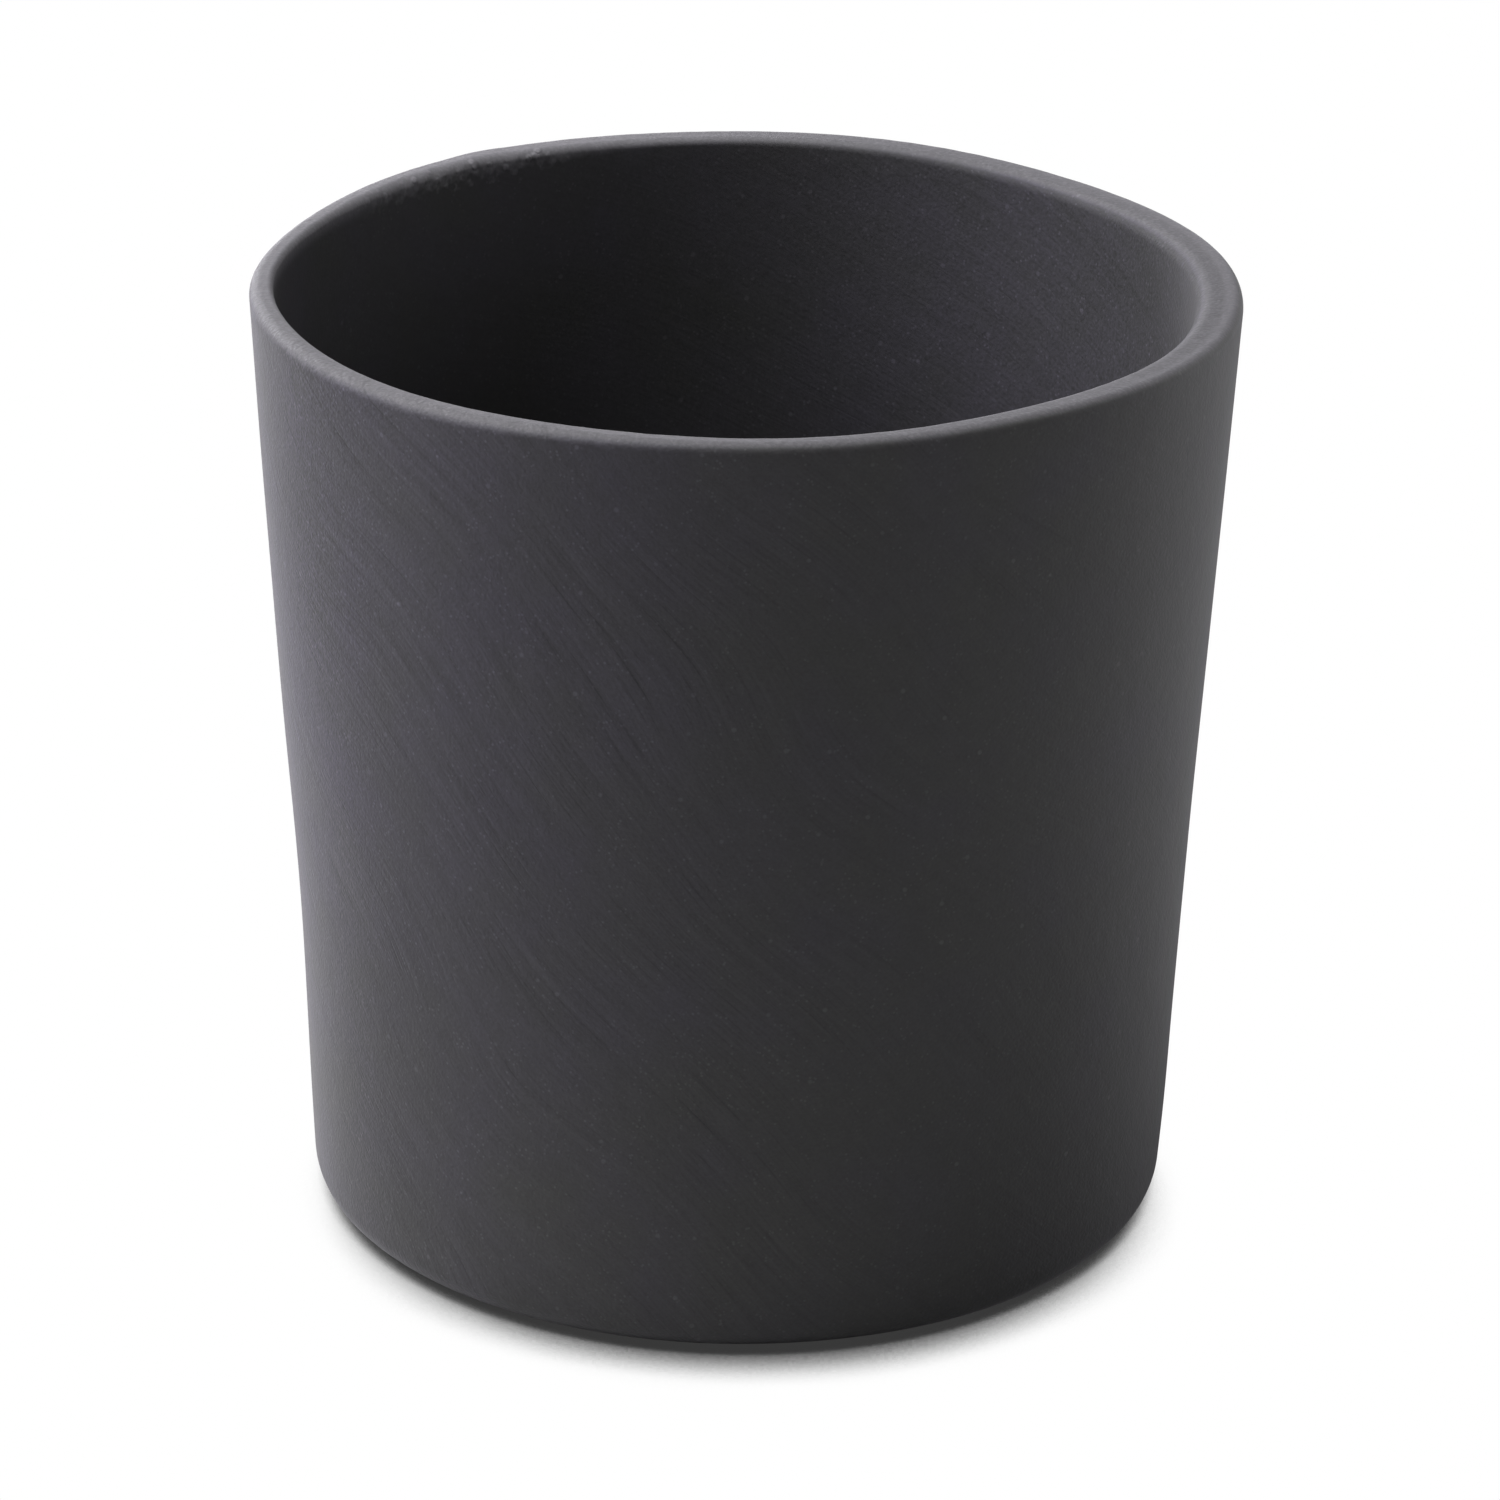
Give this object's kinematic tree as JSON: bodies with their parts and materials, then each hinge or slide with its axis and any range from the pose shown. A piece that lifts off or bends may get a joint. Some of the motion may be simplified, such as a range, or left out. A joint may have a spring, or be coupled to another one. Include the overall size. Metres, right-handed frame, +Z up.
{
  "type": "candle jar",
  "caption": "Empty round candle jar of unglazed black stoneware, open at the top, slightly tapered, with a rounded foot and a rim that is thicker on one side.",
  "frame": {"origin": "middle of the foot, on the surface the jar stands on", "axes": "+Z up out of the mouth; +X towards the thick side of the wall"},
  "size_m": [0.0848, 0.0848, 0.084],
  "materials": {
    "stoneware": "unglazed, matt black with a fine dry grain"
  },
  "bodies": {
    "root": {"jar": "stoneware"}
  },
  "joints": []
}
